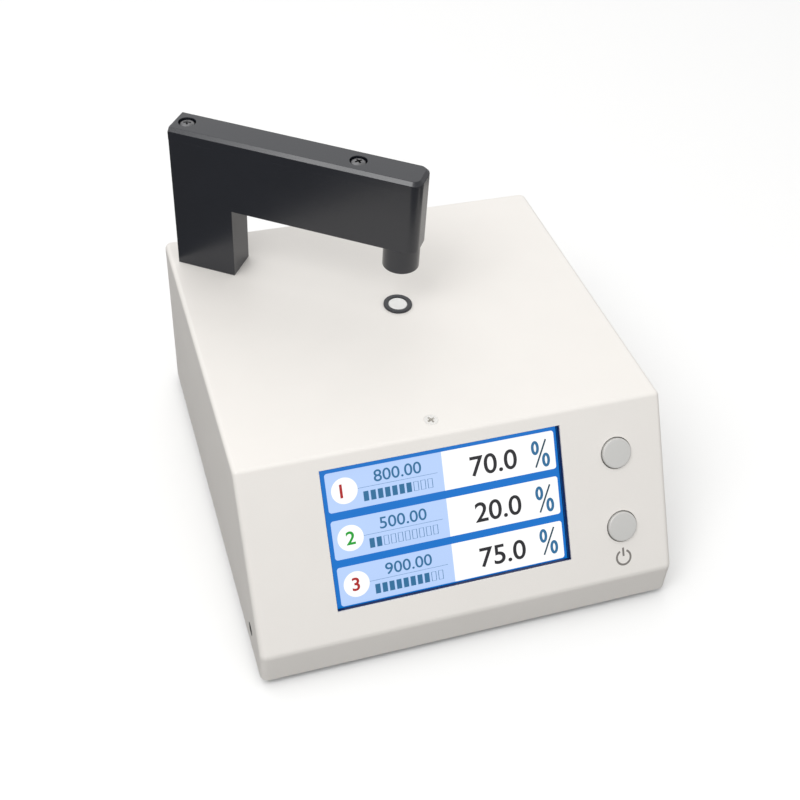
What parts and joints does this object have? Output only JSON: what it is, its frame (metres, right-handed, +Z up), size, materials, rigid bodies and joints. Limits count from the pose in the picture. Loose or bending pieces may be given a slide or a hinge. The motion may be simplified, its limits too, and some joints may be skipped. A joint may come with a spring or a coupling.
{
  "type": "transmittance meter",
  "caption": "Bench meter: a light tube on a fixed angled arm shines through a sample to a receiver in the top, and a sloped panel has a colour screen and push buttons.",
  "frame": {"origin": "on the table under the middle of the housing", "axes": "+Z up, the sloped front panel faces -Y, +X to the right of someone facing the panel"},
  "size_m": [0.17, 0.182, 0.143],
  "materials": {
    "housing_coat": "fine off-white powder coat, satin",
    "zinc_steel": "zinc-plated sheet and fasteners",
    "foot_rubber": "matt black rubber",
    "black_screw": "black oxide",
    "nickel_screw": "bright nickel plate",
    "foam": "black foam strip",
    "display_glass": "lit colour screen",
    "ribbon_film": "amber film cable",
    "button_satin": "satin silver",
    "white_plastic": "moulded white",
    "black_plastic": "moulded black",
    "board_green": "solder-masked board",
    "black_anodised": "black anodised, bead blasted",
    "lead_jacket": "soft lead jacket",
    "clear_glass": "polished lens",
    "opal_glass": "opal disc"
  },
  "bodies": {
    "housing": {"upper_cover": "housing_coat", "base_tray": "zinc_steel", "foot_front_left": "foot_rubber", "foot_front_right": "foot_rubber", "foot_rear_left": "foot_rubber", "foot_rear_right": "foot_rubber", "foot_screws": "zinc_steel", "side_screws": "black_screw", "rear_screws": "black_screw", "top_screw": "nickel_screw", "cover_pillar": "zinc_steel", "pillar_screw": "zinc_steel", "window_gasket": "foam", "lcd_glass": "display_glass", "lcd_frame": "zinc_steel", "display_bracket": "zinc_steel", "bracket_screws": "zinc_steel", "display_ribbon": "ribbon_film", "operation_switch": "black_plastic", "power_switch": "black_plastic", "button_board": "board_green", "button_board_screws": "zinc_steel", "button_ribbon": "ribbon_film", "main_board": "board_green", "board_chips": "black_plastic", "board_sockets": "white_plastic", "board_pillars": "zinc_steel", "board_screws": "zinc_steel", "power_socket": "black_plastic", "arm_body": "black_anodised", "arm_lid": "black_anodised", "lid_screws": "nickel_screw", "arm_screws": "zinc_steel", "arm_plate": "zinc_steel", "arm_lead": "lead_jacket", "nozzle": "black_anodised", "nozzle_lens": "clear_glass", "light_board": "board_green", "light_emitters": "white_plastic", "receiver_tube": "black_anodised", "receiver_nut": "zinc_steel", "diffuser_disc": "opal_glass", "receiver_board": "board_green", "photo_sensor": "black_plastic", "receiver_lead": "lead_jacket"},
    "operation_button": {"operation_cap": "button_satin", "operation_plunger": "white_plastic"},
    "power_button": {"power_cap": "button_satin", "power_plunger": "white_plastic"}
  },
  "joints": [
    {"name": "operation_press", "type": "slide", "parent": "housing", "child": "operation_button", "axis": [0, 0.8446, -0.5354], "range_m": [0, 0.001], "stiffness_N_per_m": 900},
    {"name": "power_press", "type": "slide", "parent": "housing", "child": "power_button", "axis": [0, 0.8446, -0.5354], "range_m": [0, 0.001], "stiffness_N_per_m": 900}
  ]
}
